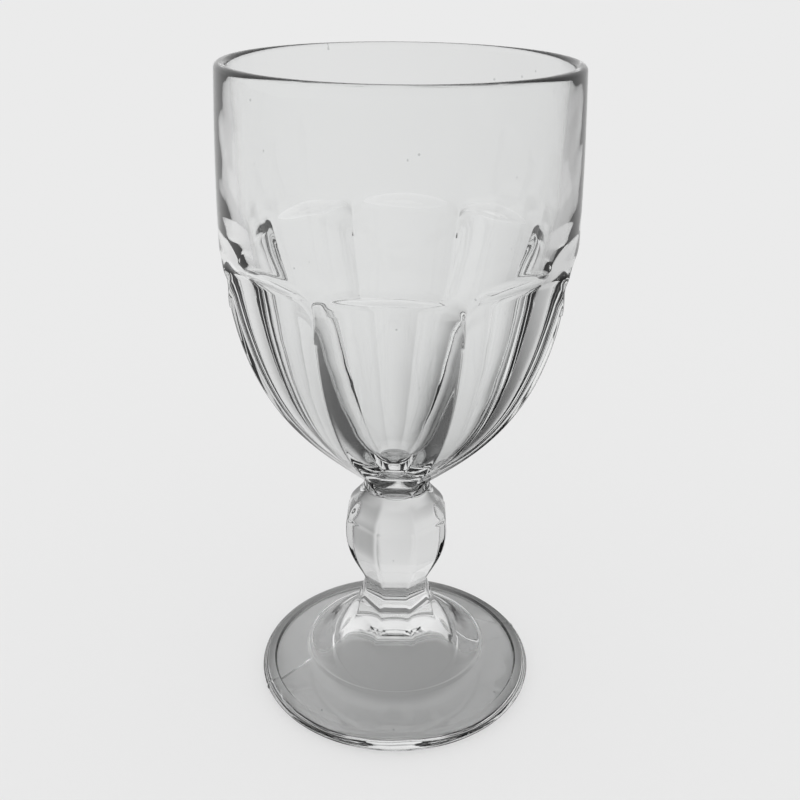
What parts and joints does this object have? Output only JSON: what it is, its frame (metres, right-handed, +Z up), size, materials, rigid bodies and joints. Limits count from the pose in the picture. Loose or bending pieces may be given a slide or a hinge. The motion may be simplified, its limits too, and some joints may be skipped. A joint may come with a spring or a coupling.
{
  "type": "stemmed glass",
  "caption": "Clear pressed-glass goblet for drinks: thick round bowl with arched hollow flutes round its lower half, faceted knop stem and domed round foot.",
  "frame": {"origin": "middle of the foot's underside, on the plane that the glass stands on", "axes": "+Z up along the axis of the glass, -Y towards the middle of one flute"},
  "size_m": [0.0842, 0.0842, 0.165],
  "materials": {
    "foot_glass": "clear, moulded, fire-polished",
    "stem_glass": "clear, moulded facets",
    "bowl_glass": "clear, moulded, fire-polished lip"
  },
  "bodies": {
    "root": {"foot": "foot_glass", "foot_collar": "stem_glass", "stem_knop": "stem_glass", "neck_collar": "stem_glass", "bowl": "bowl_glass"}
  },
  "joints": []
}
